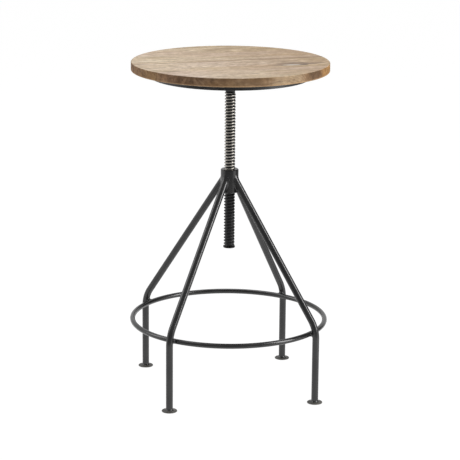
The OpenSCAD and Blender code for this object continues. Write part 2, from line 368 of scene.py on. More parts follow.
# a new material with one shader, and the tree that works out what the shader is given
class Finish(Tree):
    def __init__(self, name):
        self.material = bpy.data.materials.new(name)
        self.material.use_nodes = True
        super().__init__(self.material.node_tree)
        self.place = self.node("ShaderNodeTexCoord").outputs["Object"]

    def give(self, **inputs):
        self.fill(self.tree.nodes["Principled BSDF"], inputs)

    def bump(self, height, strength, distance):
        self.give(Normal=self.first("ShaderNodeBump", Height=height, Strength=strength,
                                    Distance=distance))


def dress(nodeNames, material):
    for name in nodeNames:
        slots = nodes[name].data.materials
        slots.clear()
        slots.append(material)


coat = {
    "frame": screenColour(39, 39, 39),
    "frameHollows": screenColour(26, 26, 27),
    "gloss": 0.21,
    "specular": 0.6,
    "plate": screenColour(38, 39, 42),
    "plateGloss": 0.42,
    "foot": screenColour(88, 86, 81),      # the discs under the legs are a lighter grey, painted light on their upward tops, and dull
    "footHollows": screenColour(62, 60, 57),
    "footGloss": 0.48,
    "footSpecular": 0.4,
    "patchScale": 26,
    "unevenScale": 70,
    "unevenGloss": 0.07,
    "peelSize": 0.0016,      # width of the orange-peel bumps
    "peelBump": 0.06,
}


# black powder coat with a faint orange peel, dust in patches and a slightly uneven gloss
def makeCoat(name, colour, hollows, gloss, specular=coat["specular"]):
    tree = Finish(name)
    patches = tree.step(tree.noise(tree.place, coat["patchScale"], 3), 0.35, 0.68)
    uneven = tree.step(tree.noise(tree.place, coat["unevenScale"], 2), 0.3, 0.7)
    uneven = tree.timesPlus(uneven, coat["unevenGloss"], gloss - coat["unevenGloss"] / 2)
    tree.give(Base_Color=tree.mix(patches, colour, hollows), Roughness=uneven,
              Specular_IOR_Level=specular)
    tree.bump(tree.noise(tree.place, 1 / coat["peelSize"], 1), coat["peelBump"], distance=0.0002)
    return tree.material


powderCoat = makeCoat("powderCoat", coat["frame"], coat["frameHollows"], coat["gloss"])
plateCoat = makeCoat("plateCoat", coat["plate"], coat["frameHollows"], coat["plateGloss"])
# the foot discs take the lighter grey, which paints the light on their tops
footCoat = makeCoat("footCoat", coat["foot"], coat["footHollows"], coat["footGloss"],
                    coat["footSpecular"])


steel = {
    "crest": screenColour(192, 187, 178),
    "groove": screenColour(8, 8, 8),
    "coated": screenColour(31, 31, 32),
    "bareFrom": 0.436,       # below this height the spindle is blackened
    "bareTo": 0.452,
    "raggedEdge": 0.012,     # how much the grain moves that border
    "threadEdge": 0.002,     # half height of the border between thread and shank
    "rubbedEdge": 0.0001,    # half width of the border between crest and groove
    "rubbedGrain": 0.0003,   # and how much the grain moves it
    "grain": (900, 900, 2600),
    "metallic": 0.1,         # of the dark steel, and what the bare steel adds
    "bareMetallic": 0.85,
    "roughness": 0.42,
    "bareRoughness": -0.04,
}


# the spindle's steel: bare on the crests, with dark oil left in the groove, and blackened low down
def makeSpindleSteel():
    tree = Finish("spindleSteel")
    height = tree.parts(tree.place)[2]
    out = tree.vector("LENGTH", tree.vector("MULTIPLY", tree.place, (1, 1, 0)))
    grain = tree.noise(tree.vector("MULTIPLY", tree.place, steel["grain"]))
    rubbed = tree.step(tree.timesPlus(grain, steel["rubbedGrain"], out),
                       thread["crestRadius"] - steel["rubbedEdge"],
                       thread["crestRadius"] + steel["rubbedEdge"])
    bare = tree.step(tree.timesPlus(grain, steel["raggedEdge"], height),
                     steel["bareFrom"], steel["bareTo"])
    onThread = tree.step(height, thread["top"] + steel["threadEdge"],
                         thread["top"] - steel["threadEdge"])
    shine = tree.times(tree.times(rubbed, bare), onThread)
    darkSteel = tree.mix(bare, steel["coated"], steel["groove"])
    tree.give(Base_Color=tree.mix(shine, darkSteel, steel["crest"]),
              Metallic=tree.timesPlus(shine, steel["bareMetallic"], steel["metallic"]),
              Roughness=tree.timesPlus(shine, steel["bareRoughness"], steel["roughness"]))
    tree.bump(grain, strength=0.1, distance=0.0001)
    return tree.material


fastener = {
    "zinc": screenColour(168, 166, 160),
    "zincRoughness": 0.34,
    "black": screenColour(58, 57, 57),
    "blackRoughness": 0.42,
    "metallic": 0.9,
    "cloudScale": 420,
    "cloudShade": 0.55,      # how dark the clouds are, as a share of the colour
    "pitScale": 1500,
}
rubber = {
    "dark": screenColour(30, 29, 27),
    "pale": screenColour(52, 50, 47),
    "roughness": 0.75,
    "speckleScale": 1800,
}


# plated or blackened fasteners, with a cloudy tone
def makeFastener(name, colour, roughness):
    tree = Finish(name)
    cloud = tree.step(tree.noise(tree.place, fastener["cloudScale"], 3), 0.3, 0.75)
    darker = tuple(fastener["cloudShade"] * level for level in colour[:3]) + (1,)
    tree.give(Base_Color=tree.mix(cloud, colour, darker), Metallic=fastener["metallic"],
              Roughness=roughness)
    pits = tree.noise(tree.place, fastener["pitScale"])
    tree.bump(pits, strength=0.12, distance=0.0001)
    return tree.material


def makeRubber():
    tree = Finish("padRubber")
    speckle = tree.noise(tree.place, rubber["speckleScale"], 3)
    tree.give(Base_Color=tree.mix(speckle, rubber["dark"], rubber["pale"]),
              Roughness=rubber["roughness"])
    tree.bump(speckle, strength=0.3, distance=0.0002)
    return tree.material


spindleSteel = makeSpindleSteel()
zincSteel = makeFastener("zincSteel", fastener["zinc"], fastener["zincRoughness"])
blackOxide = makeFastener("blackOxide", fastener["black"], fastener["blackRoughness"])
padRubber = makeRubber()


wood = {
    "grainTurn": 17,         # degrees from the stool's left-right line
    "roughness": 0.74,
    "lateRoughness": -0.08,
    "specular": 0.3,
    "pale": screenColour(215, 200, 180),
    "tan": screenColour(199, 178, 151),
    "late": screenColour(154, 132, 107),
    "pore": screenColour(118, 98, 78),
    "knot": screenColour(112, 96, 84),
    "ringGap": 0.0046,       # from one year to the next
    "ringBend": 0.05,        # how far slow noise bends the rings
    "yearWaver": 1.6,        # and how many years a quicker one moves them
    "knotTorn": 0.9,         # how ragged the knots' edges are
    "knotStrength": 0.7,
    "sheenSpan": (-0.13, 0.20),             # along the boards, from all painted sheen to all painted shade
    # noise patterns: stretch along, across and up the board, detail and roughness
    "patterns": {
        "wander": ((5, 17, 17), 2, 0.5),
        "waver": ((9, 90, 90), 3, 0.5),
        "streak": ((3.4, 60, 60), 4, 0.6),
        "blotch": ((4, 9, 9), 3, 0.5),
        "fibre": ((26, 1300, 1300), 3, 0.5),
        "dash": ((55, 620, 620), 2, 0.5),
        "dapple": ((15, 130, 130), 3, 0.6),
        "fleck": ((34, 96, 96), 4, 0.7),
        "crumb": ((115, 95, 95), 3, 0.6),
        "line": ((9, 120, 120), 4, 0.65),
        "ragged": ((60, 260, 260), 3, 0.5),
        "soak": ((110, 110, 70), 3, 0.62),
    },
    # what the patterns multiply the colour by: from and to which level, tone below and above
    "shades": [
        ("blotch", 0.35, 0.65, (1.04, 1.01, 0.91, 1), (1.05, 0.99, 0.98, 1)),
        ("dapple", 0.32, 0.68, (0.82, 0.79, 0.755, 1), (1.11, 1.11, 1.11, 1)),
        ("fleck", 0.36, 0.64, (0.90, 0.875, 0.83, 1), (1.06, 1.07, 1.08, 1)),
        ("crumb", 0.36, 0.64, (0.90, 0.885, 0.87, 1), (1.08, 1.08, 1.07, 1)),
    ],
    "paintedSheen": (1.18, 1.27, 1.46, 1),        # painted sheen: what the light multiplies at the front left, paler and bluer
    "paintedShade": (0.83, 0.81, 0.78, 1),        # painted shade: what it multiplies at the far right, darker and warmer
    "glue": [(0.0012, 0.45), (0.0040, 1.0), (0.0012, 0.45)],    # half width and strength
    # how much each stands out of the surface, and the depth that 1 means
    "relief": {"late": 0.35, "fibre": -0.5, "pore": -1.0, "dents": -1.2, "glue": -1.0},
    "reliefBump": 0.35,
    "reliefDepth": 0.0004,
}
# each board: middle of the year rings across the grain and below the top, how fast that
# middle drops along the board, and a shift that keeps the boards' patterns apart
boards = {
    "seat_board_1": {"heart": (-0.290, 0.020), "drop": 0.03, "shift": (0.31, 1.70, 0.20)},
    "seat_board_2": {"heart": (-0.030, 0.075), "drop": 0.16, "shift": (2.40, 0.35, 1.10)},
    "seat_board_3": {"heart": (0.205, 0.040), "drop": -0.06, "shift": (4.10, 2.25, 0.50)},
    "seat_board_4": {"heart": (0.120, 0.090), "drop": -0.11, "shift": (0.85, 3.40, 2.60)},
}
# dark knots and nicks on the top: along and across the grain, half length and width, strength
knots = [
    (0.112, -0.066, 0.046, 0.0170, 0.72),
    (0.132, -0.074, 0.011, 0.0090, 1.3),
    (0.118, -0.051, 0.034, 0.0070, 0.95),
    (0.080, -0.076, 0.024, 0.0050, 0.7),
    (0.156, -0.064, 0.026, 0.0075, 1.0),
    (-0.148, -0.091, 0.020, 0.0055, 0.7),
    (-0.075, -0.060, 0.005, 0.0035, 0.6),
    (0.003, -0.152, 0.011, 0.0055, 0.6),
    (-0.101, 0.052, 0.030, 0.0040, 0.4),
    (0.030, 0.014, 0.040, 0.0022, 0.45),
]
# the pale patch in the middle of the largest knot, a painted highlight
eyeHighlight = {
    "oval": (0.108, -0.0735, 0.022, 0.0060),
    "colour": screenColour(208, 203, 198),
    "torn": 1.4,             # how much more ragged it is than the knots
    "strength": 0.78,
}
# the rim is oiled and darker than the top, partly as painted shade, with tones of painted light
# and shade that follow each other round it
rimFinish = {
    "oilAndShade": (0.50, 0.39, 0.29, 1),        # what the oil multiplies the colour by, which also paints the shade on the upright rim
    "endStain": (0.86, 0.80, 0.76, 1),     # and once more where the grain ends
    "mottle": ((0.76, 0.75, 0.74, 1), (1.16, 1.16, 1.16, 1)),
    "lowEdgeHighlight": screenColour(202, 162, 118),
    "lowEdgeHighlightHeight": (0.0046, 0.0022),        # painted highlight below the first, at full strength below the second
    "lowEdgeHighlightStrength": 0.42,
    # direction from the stool's axis and half width in degrees, tone that paints light and shade
    # there
    "lightAndShadeTones": [
        (-140, 14, (1.12, 1.13, 1.03)), (-104, 30, (0.77, 0.75, 0.70)),
        (-80, 13, (0.86, 0.86, 0.85)), (-56, 17, (1.34, 1.56, 1.84)),
        (-34, 10, (0.64, 0.66, 0.68)), (-14, 17, (1.60, 1.60, 1.12)),
    ],
}
turn = math.radians(wood["grainTurn"])
grainAlong = (math.cos(turn), math.sin(turn), 0)


# across the grain, from the stool's axis to the edges that board 2 shares with its neighbours
def findGlueLines():
    edges = [vertex.co.y * math.cos(turn) - vertex.co.x * math.sin(turn)
             for vertex in nodes["seat_board_2"].data.vertices]
    low, high = min(edges), max(edges)
    return (low, high, 2 * high - low)


glueLines = findGlueLines()


# year rings round the heart of the tree, bent by slow noise: how dark the late wood is, and a
# level that changes from year to year
def yearRings(tree, grain, along, across, up, board):
    heartAcross, heartDepth = board["heart"]
    bend = tree.timesPlus(grain["wander"], wood["ringBend"], -wood["ringBend"] / 2)
    sideways = tree.plus(tree.minus(across, heartAcross), bend)
    depth = tree.minus(up, seatHigh.z - heartDepth)
    depth = tree.timesPlus(along, board["drop"], depth)
    year = tree.over(tree.reach(sideways, depth), wood["ringGap"])
    year = tree.timesPlus(grain["waver"], wood["yearWaver"], year)
    season = tree.math("FRACT", year)
    late = tree.times(tree.step(season, 0.25, 0.86), tree.step(season, 1.0, 0.9))
    harvest = tree.first("ShaderNodeTexNoise", {"noise_dimensions": "1D"}, W=year, Scale=0.37,
                         Detail=3.0)
    return late, harvest


# the clear wood: streaks, late wood, fibres, open pores, dapples, and a painted sheen and shade
# across the top
def clearWood(tree, grain, late, harvest, pore, along, across):
    colour = tree.mix(tree.step(grain["streak"], 0.3, 0.7), wood["tan"], wood["pale"])
    darker = [
        (tree.step(harvest, 0.35, 0.7), 0.35, "late"),
        (late, 0.42, "late"),
        (tree.step(grain["fibre"], 0.42, 0.75), 0.28, "late"),
        (pore, 0.5, "pore"),
    ]
    for level, strength, tone in darker:
        colour = tree.mix(tree.times(level, strength), colour, wood[tone])
    for name, low, high, dark, pale in wood["shades"]:
        colour = tree.tint(colour, tree.mix(tree.step(grain[name], low, high), dark, pale))
    # long dark lines, where a saw or a drying crack opened the wood
    line = tree.times(tree.step(grain["line"], 0.56, 0.68), 0.55)
    colour = tree.mix(line, colour, wood["pore"])
    # painted sheen and shade: paler and bluer at the front left, darker at the far right
    drift = tree.timesPlus(across, 0.25, tree.timesPlus(grain["blotch"], 0.06, along))
    light = tree.mix(tree.step(drift, *wood["sheenSpan"], False), wood["paintedSheen"], wood["paintedShade"])
    return tree.tint(colour, light)


# 0 in the middle of an oval on the board and 1 at its edge
def ovalOut(tree, along, across, middle, aside, halfLength, halfWidth):
    return tree.reach(tree.over(tree.minus(along, middle), halfLength),
                      tree.over(tree.minus(across, aside), halfWidth))


# knots and nicks with ragged edges, and a painted highlight in the middle of the largest: the new
# colour, and the dents
def addKnots(tree, grain, colour, along, across):
    ragged = tree.timesPlus(grain["ragged"], wood["knotTorn"], -wood["knotTorn"] / 2)
    dents = 0.0
    for *oval, strength in knots:
        out = tree.plus(ovalOut(tree, along, across, *oval), ragged)
        mark = tree.times(tree.step(out, 1.1, 0.55), strength * wood["knotStrength"])
        colour = tree.mix(mark, colour, wood["knot"])
        dents = tree.most(dents, mark)
    # painted highlight: a pale bluish patch in the largest knot
    out = tree.plus(ovalOut(tree, along, across, *eyeHighlight["oval"]), tree.times(ragged, eyeHighlight["torn"]))
    eyeGlint = tree.times(tree.step(out, 1.1, 0.4), eyeHighlight["strength"])
    return tree.mix(eyeGlint, colour, eyeHighlight["colour"]), dents


# how much of the glue lines shows, the middle one the most
def glueAmount(tree, grain, across):
    glue = 0.0
    for line, (width, strength) in zip(glueLines, wood["glue"]):
        seam = tree.step(tree.apart(across, line), width, 0.3 * width)
        glue = tree.most(glue, tree.times(seam, strength))
    return tree.times(glue, tree.step(grain["streak"], 0.2, 0.6))


# the oiled rim: darker and warmer than the top, partly as painted shade on the upright side, most
# where the grain ends, with painted light and shade round it and a painted highlight along its
# foot
def oiledShadedRim(tree, soak, colour, normal, up):
    endGrain = tree.math("ABSOLUTE", tree.vector("DOT_PRODUCT", normal, grainAlong))
    endGrain = tree.step(tree.timesPlus(soak, 0.5, endGrain), 0.5, 1.15)
    around = tree.azimuth(*tree.parts(tree.place)[:2])
    around = tree.plus(around, tree.timesPlus(soak, 10.0, -5.0))
    # the oil's darkening also paints the shade on the upright rim
    rimOilAndShade = tree.tint(colour, rimFinish["oilAndShade"])
    # painted light and shade: lighter or darker tones by direction round the rim
    for middle, half, tone in rimFinish["lightAndShadeTones"]:
        near = tree.step(tree.apart(around, middle), half, 0.4 * half)
        rimOilAndShade = tree.mix(near, rimOilAndShade, tree.tint(rimOilAndShade, (*tone, 1)))
    mottle = tree.mix(tree.step(soak, 0.34, 0.66), *rimFinish["mottle"])
    rimOilAndShade = tree.mix(tree.timesPlus(endGrain, 0.85, 0.15), rimOilAndShade, tree.tint(rimOilAndShade, mottle))
    rimOilAndShade = tree.mix(endGrain, rimOilAndShade, tree.tint(rimOilAndShade, rimFinish["endStain"]))
    # a painted highlight along the rim's rounded foot, where it faces the white floor
    low = tree.timesPlus(soak, 0.0016, up)
    lowEdgeLit = tree.step(low, *(seatLow.z + height for height in rimFinish["lowEdgeHighlightHeight"]))
    return tree.mix(tree.times(lowEdgeLit, rimFinish["lowEdgeHighlightStrength"]), rimOilAndShade, rimFinish["lowEdgeHighlight"])


# solid oak: year rings, fibres and pores run through the board, so top, rim and ends agree
def makeWood(boardName, board):
    tree = Finish(boardName + "Oak")
    turned = tree.first("ShaderNodeMapping", Vector=tree.place, Rotation=(0, 0, -turn))
    shifted = tree.vector("ADD", turned, board["shift"])
    along, across, up = tree.parts(turned)
    grain = {name: tree.noise(tree.vector("MULTIPLY", shifted, stretch), 1.0, detail, roughness)
             for name, (stretch, detail, roughness) in wood["patterns"].items()}
    late, harvest = yearRings(tree, grain, along, across, up, board)
    pore = tree.step(grain["dash"], 0.66, 0.78)
    colour = clearWood(tree, grain, late, harvest, pore, along, across)
    colour, dents = addKnots(tree, grain, colour, along, across)
    glue = glueAmount(tree, grain, across)
    colour = tree.mix(glue, colour, wood["pore"])
    normal = tree.node("ShaderNodeTexCoord").outputs["Normal"]
    rim = tree.step(tree.math("ABSOLUTE", tree.parts(normal)[2]), 0.95, 0.55)
    rimOilAndShade = oiledShadedRim(tree, grain["soak"], colour, normal, up)
    tree.give(Base_Color=tree.mix(rim, colour, rimOilAndShade), Specular_IOR_Level=wood["specular"],
              Roughness=tree.timesPlus(late, wood["lateRoughness"], wood["roughness"]))
    levels = {"late": late, "fibre": grain["fibre"], "pore": pore, "dents": dents, "glue": glue}
    height = 0.0
    for name, level in levels.items():
        height = tree.timesPlus(level, wood["relief"][name], height)
    tree.bump(height, wood["reliefBump"], wood["reliefDepth"])
    return tree.material


for boardName, board in boards.items():
    dress([boardName], makeWood(boardName, board))
print("oak boards finished, glue lines at", [round(line, 4) for line in glueLines])


# a geometry tree with one mesh out: its named inputs are the sizes that the keys pick from the
# piece's dictionary, and those that the call names itself
class Grower(Tree):
    def __init__(self, name, piece, *keys, **sizes):
        group = bpy.data.node_groups.new(name, "GeometryNodeTree")
        super().__init__(group)
        self.sizes = {**{key: piece[key] for key in keys}, **sizes}
        for label, value in self.sizes.items():
            kind = "NodeSocketInt" if isinstance(value, int) else "NodeSocketFloat"
            socket = group.interface.new_socket(label, in_out="INPUT", socket_type=kind)
            socket.default_value = value
        group.interface.new_socket("finish", in_out="INPUT", socket_type="NodeSocketMaterial")
        group.interface.new_socket("mesh", in_out="OUTPUT", socket_type="NodeSocketGeometry")
        self.given = self.node("NodeGroupInput").outputs

    def moved(self, shape, **how):
        return self.first("GeometryNodeTransform", Geometry=shape, **how)

    def placed(self, shape, place, **which):
        return self.first("GeometryNodeSetPosition", Geometry=shape, Position=place, **which)

    def circle(self, sides, radius):
        return self.first("GeometryNodeCurvePrimitiveCircle", Resolution=sides, Radius=radius)

    def joined(self, shapes):
        join = self.node("GeometryNodeJoinGeometry")
        for shape in shapes:
            self.feed(join.inputs[0], shape)
        return join.outputs[0]

    def merged(self, shape):
        return self.first("GeometryNodeMergeByDistance", Geometry=shape, Distance=touching)

    # a curve through evenly spaced values, read at a share from 0 to 1
    def curveThrough(self, share, values):
        made = self.node("ShaderNodeFloatCurve", Value=share)
        curve = made.mapping.curves[0]
        last = len(values) - 1
        for step, value in enumerate(values[1:-1], 1):
            curve.points.new(step / last, value)
        curve.points[0].location = (0, values[0])
        curve.points[last].location = (1, values[-1])
        for point in curve.points:
            point.handle_type = "VECTOR"
        made.mapping.update()
        return made.outputs[0]

    # smooth faces, but with sharp edges where faces meet at more than the given angle
    def end(self, geometry, sharpFrom=None):
        whole = self.first("GeometryNodeRealizeInstances", Geometry=geometry)
        smooth = self.first("GeometryNodeSetShadeSmooth", Geometry=whole)
        if sharpFrom:
            angle = self.node("GeometryNodeInputMeshEdgeAngle").outputs["Unsigned Angle"]
            smooth = self.first("GeometryNodeSetShadeSmooth", {"domain": "EDGE"},
                                Geometry=smooth, Shade_Smooth=False,
                                Selection=self.math("GREATER_THAN", angle, sharpFrom))
        coated = self.first("GeometryNodeSetMaterial", Geometry=smooth,
                            Material=self.given["finish"])
        self.node("NodeGroupOutput", mesh=coated)

    # runs the tree once with these sizes and leaves a plain mesh that rides on a body
    def grow(self, pieceName, material, body, slot, replaced, **sizes):
        piece = bpy.data.objects.new(pieceName, bpy.data.meshes.new(pieceName))
        scene.collection.objects.link(piece)
        modifier = piece.modifiers.new(self.tree.name, "NODES")
        modifier.node_group = self.tree
        values = {**self.sizes, **sizes, "finish": material}
        for item in self.tree.interface.items_tree:
            if item.in_out == "INPUT":
                modifier[item.identifier] = values[item.name]
        evaluated = piece.evaluated_get(bpy.context.evaluated_depsgraph_get())
        mesh = bpy.data.meshes.new_from_object(evaluated)
        piece.modifiers.clear()
        mesh.materials.clear()
        mesh.materials.append(material)
        mesh.polygons.foreach_set("material_index", [0] * len(mesh.polygons))
        piece.data = mesh
        mesh.name = pieceName
        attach(piece, body)
        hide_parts(*replaced)
        print(pieceName, len(mesh.polygons), "faces")


# spindle: a helical grid, whose rows follow the thread's profile from root to crest to root

# along the pitch and out from root to crest, each from 0 to 1: three points round each corner
def threadProfile():
    rise = thread["crestRadius"] - thread["rootRadius"]
    flank = thread["flankShare"] * thread["pitch"]
    lean = math.atan2(flank, rise)
    tangent = thread["cornerRadius"] * math.tan((math.pi / 2 - lean) / 2)
    ahead = tangent / thread["pitch"]
    alongFlank = tangent * math.sin(lean) / thread["pitch"]
    upFlank = tangent * math.cos(lean) / rise
    crest = 0.5 - thread["crestShare"] / 2
    root = crest - thread["flankShare"]
    half = [
        (0, 0), (root - ahead, 0), (root + 0.15 * alongFlank, 0.3 * upFlank),
        (root + alongFlank, upFlank), (crest - alongFlank, 1 - upFlank),
        (crest - 0.15 * alongFlank, 1 - 0.3 * upFlank), (crest + ahead, 1),
    ]
    return half + [(0.5, 1)] + [(1 - along, out) for along, out in reversed(half)]


def makeSpindle():
    profile = threadProfile()
    rows = len(profile) - 1
    tree = Grower("threadedRod", thread, "pitch", "rootRadius", "crestRadius", "shankRadius",
                  "top", "taper", "runOut", "sides", low=spindleLow.z, high=spindleHigh.z,
                  endRadius=thread["rootRadius"] - thread["endGap"])
    given = tree.given
    perMetre = tree.over(given["sides"], given["pitch"])
    first = tree.minus(tree.math("FLOOR", tree.times(given["low"], perMetre)), given["sides"])
    last = tree.plus(tree.math("CEIL", tree.times(given["high"], perMetre)), given["sides"])
    grid = tree.first("GeometryNodeMeshGrid", Vertices_X=tree.minus(last, first),
                      Vertices_Y=rows + 1)
    index = tree.first("GeometryNodeInputIndex")
    station = tree.math("FLOOR", tree.over(tree.plus(index, 0.5), rows + 1))
    share = tree.over(tree.minus(index, tree.times(station, rows + 1)), rows)
    turns = tree.over(tree.plus(station, first), given["sides"])
    along = tree.curveThrough(share, [point[0] for point in profile])
    out = tree.curveThrough(share, [point[1] for point in profile])
    height = tree.times(given["pitch"], tree.plus(turns, tree.minus(along, 0.5)))
    height = tree.least(tree.most(height, given["low"]), given["high"])

    # the thread runs out into the taper at the top and is chamfered at the bottom
    above = tree.minus(height, given["top"])
    kept = tree.step(above, given["runOut"], 0.0)
    depth = tree.minus(given["crestRadius"], given["rootRadius"])
    radius = tree.timesPlus(tree.times(out, kept), depth, given["rootRadius"])
    widening = tree.minus(given["shankRadius"], given["endRadius"])
    cone = tree.timesPlus(tree.over(above, given["taper"]), widening, given["endRadius"])
    radius = tree.most(radius, tree.least(cone, given["shankRadius"]))
    chamfer = tree.plus(given["endRadius"], tree.minus(height, given["low"]))
    radius = tree.least(radius, chamfer)
    angle = tree.times(turns, 2 * math.pi)
    place = tree.point(tree.times(radius, tree.math("COSINE", angle)),
                       tree.times(radius, tree.math("SINE", angle)), height)
    rod = tree.placed(grid, place)
    ends = []
    for level, width in (("low", "endRadius"), ("high", "shankRadius")):
        disc = tree.first("GeometryNodeMeshCircle", {"fill_type": "NGON"}, Vertices=given["sides"],
                          Radius=given[width])
        ends.append(tree.moved(disc, Translation=tree.point(z=given[level])))
    ends[0] = tree.first("GeometryNodeFlipFaces", Mesh=ends[0])
    tree.end(tree.merged(tree.joined((rod, *ends))))
    tree.grow("threadedSpindle", spindleSteel, "seat", "spindle_steel", ["spindle"])


makeSpindle()
print("spindle threaded")


# legs: one bar each, bent once and coped to the hub
leg = {
    "lean": 34.9,            # degrees from upright
    "bendRadius": 0.068,
    "jointHeight": 0.440,    # where the middle of the bar meets the hub's side
    "firstTurn": 56.5,       # direction of the first leg, round from +X
    "sink": 0.0003,          # how far the coped end reaches into the hub
    "sides": 48,
    "bendSteps": 24,
}
legNames = ["back_right", "back_left", "front_left", "front_right"]
legTurns = [math.radians(leg["firstTurn"] + 90 * number) for number in range(4)]


# where a leg stands: its distance from the spindle's axis, its bar's radius, the disc's top
def measureLeg():
    footLow, footHigh = spanOf("foot_back_right")
    middle = (footLow + footHigh) / 2
    soles = [vertex.co for vertex in nodes["leg_back_right"].data.vertices
             if vertex.co.z < footHigh.z + touching]
    radius = max(math.hypot(sole.x - middle.x, sole.y - middle.y) for sole in soles)
    return math.hypot(middle.x, middle.y), radius, footHigh.z


legReach, barRadius, footTop = measureLeg()
lean = math.radians(leg["lean"])
bendHeight = (leg["jointHeight"] - (legReach - hubRadius) / math.tan(lean)
              - leg["bendRadius"] * math.tan(lean / 2))


def makeLegs():
    tree = Grower("bentLeg", leg, "bendRadius", "jointHeight", "sides", "bendSteps", lean=lean,
                  barRadius=barRadius, reach=legReach, footHeight=footTop,
                  hubRadius=hubRadius - leg["sink"], turn=0.0)
    given = tree.given
    slope = tree.math("TANGENT", given["lean"])
    run = tree.minus(given["reach"], given["hubRadius"])
    corner = tree.minus(given["jointHeight"], tree.over(run, slope))

    # three points: foot, corner and joint
    line = tree.first("GeometryNodeMeshLine", Count=3)
    curve = tree.first("GeometryNodeMeshToCurve", Mesh=line)
    index = tree.first("GeometryNodeInputIndex")
    isFoot = tree.math("LESS_THAN", index, 0.5)
    isJoint = tree.math("GREATER_THAN", index, 1.5)
    across = tree.timesPlus(isJoint, tree.times(run, -1), given["reach"])
    height = tree.timesPlus(isFoot, tree.minus(given["footHeight"], corner), corner)
    height = tree.timesPlus(isJoint, tree.minus(given["jointHeight"], corner), height)
    path = tree.placed(curve, tree.point(across, z=height))
    bent = tree.first("GeometryNodeFilletCurve", {"mode": "POLY"}, Curve=path,
                      Count=given["bendSteps"], Radius=given["bendRadius"])
    outline = tree.circle(given["sides"], given["barRadius"])
    bar = tree.first("GeometryNodeCurveToMesh", Curve=bent, Profile_Curve=outline, Fill_Caps=True)

    # the upper end slides along the bar until it meets the hub's round side
    x, y, z = tree.parts(tree.first("GeometryNodeInputPosition"))
    inward = tree.times(tree.math("SINE", given["lean"]), tree.minus(given["hubRadius"], x))
    upward = tree.times(tree.math("COSINE", given["lean"]), tree.minus(z, given["jointHeight"]))
    atEnd = tree.math("GREATER_THAN", tree.plus(inward, upward), -touching)
    hubSide = tree.math("SQRT", tree.minus(tree.times(given["hubRadius"], given["hubRadius"]),
                                           tree.times(y, y)))
    raised = tree.plus(z, tree.over(tree.minus(x, hubSide), slope))
    coped = tree.placed(bar, tree.point(hubSide, y, raised), Selection=atEnd)
    tree.end(tree.moved(coped, Rotation=tree.point(z=given["turn"])))
    for name, turned in zip(legNames, legTurns):
        tree.grow("bar_" + name, powderCoat, "frame", "frame_coat", ["leg_" + name], turn=turned)


makeLegs()


# foot ring: a round bar rolled to a hoop
ring = {"sides": 40, "steps": 288}
ringBar = (ringHigh.z - ringLow.z) / 2
ringHeight = (ringHigh.z + ringLow.z) / 2
ringRadius = min(ringHigh.x, -ringLow.x) - ringBar


def makeRing():
    tree = Grower("rolledHoop", ring, "sides", "steps", radius=ringRadius, barRadius=ringBar,
                  height=ringHeight)
    given = tree.given
    hoop = tree.circle(given["steps"], given["radius"])
    bar = tree.circle(given["sides"], given["barRadius"])
    swept = tree.first("GeometryNodeCurveToMesh", Curve=hoop, Profile_Curve=bar)
    tree.end(tree.moved(swept, Translation=tree.point(z=given["height"])))
    tree.grow("rolled_ring", powderCoat, "frame", "frame_coat", ["foot_ring"])


makeRing()
print("legs and foot ring bent")


# welds: where two parts meet, their distances are blended and the fillet between them is kept
weld = {
    "hubBlend": 0.0040,
    "ringBlend": 0.0065,
    "footBlend": 0.0040,
    "discFall": 0.14,        # slope of the foot discs' tops
    "voxel": 0.00035,
    "sink": 0.0005,          # how far a bead reaches into the parts that it joins
    "toe": 0.00012,          # its least thickness, at the edge
    "lump": 0.0007,
    "lumpSize": 0.004,
    "lumpFrom": 0.0012,      # beads this thick have lumps of full height
}


# one bead, where the distances to two parts blend inside a box, and its copies round the axis
def growBeads(name, first, second, inner, outer, aside, low, high):
    tree = Grower(name + "Bead", weld, "voxel", "lump", "sink", "toe", blend=weld[name + "Blend"])
    given = tree.given
    point = tree.first("GeometryNodeInputPosition")
    parts = tree.parts(point)
    one = first(tree, *parts)
    two = second(tree, *parts)
    share = tree.most(tree.minus(given["blend"], tree.apart(one, two)), 0.0)
    extra = tree.over(tree.times(share, share), tree.times(given["blend"], 4.0))
    uneven = tree.minus(tree.noise(point, 1 / weld["lumpSize"]), 0.5)
    swell = tree.times(tree.times(uneven, given["lump"]), tree.step(extra, 0.0, weld["lumpFrom"]))
    nearest = tree.least(one, two)
    fillet = tree.minus(tree.minus(nearest, extra), swell)
    core = tree.minus(tree.times(nearest, -1.0), given["sink"])
    bead = tree.most(fillet, tree.most(core, tree.minus(given["toe"], extra)))
    density = tree.minus(0.5, tree.over(bead, given["voxel"]))
    corners = (inner, -aside, low), (outer, aside, high)
    counts = [tree.math("CEIL", tree.over(end - start, given["voxel"]))
              for start, end in zip(*corners)]
    block = tree.first("GeometryNodeVolumeCube", Density=density, Background=-10.0,
                       Min=corners[0], Max=corners[1], Resolution_X=counts[0],
                       Resolution_Y=counts[1], Resolution_Z=counts[2])
    skin = tree.first("GeometryNodeVolumeToMesh", Volume=block, Threshold=0.5)
    eased = tree.node("GeometryNodeBlurAttribute", {"data_type": "FLOAT_VECTOR"}, Iterations=2)
    value = next(socket for socket in eased.inputs if socket.enabled and socket.name == "Value")
    tree.feed(value, tree.first("GeometryNodeInputPosition"))
    smooth = tree.placed(skin, next(socket for socket in eased.outputs if socket.enabled))
    tree.end(tree.joined([tree.moved(smooth, Rotation=(0, 0, turned)) for turned in legTurns]))
    tree.grow(name + "_weld_beads", powderCoat, "frame", "frame_coat", [name + "_welds"])


# distances from the parts that are welded, with the leg's plane as y = 0

def hubField(tree, x, y, z):
    side = tree.minus(tree.reach(x, y), hubRadius)
    ends = tree.most(tree.minus(hubLow.z, z), tree.minus(z, hubHigh.z))
    return tree.most(side, ends)


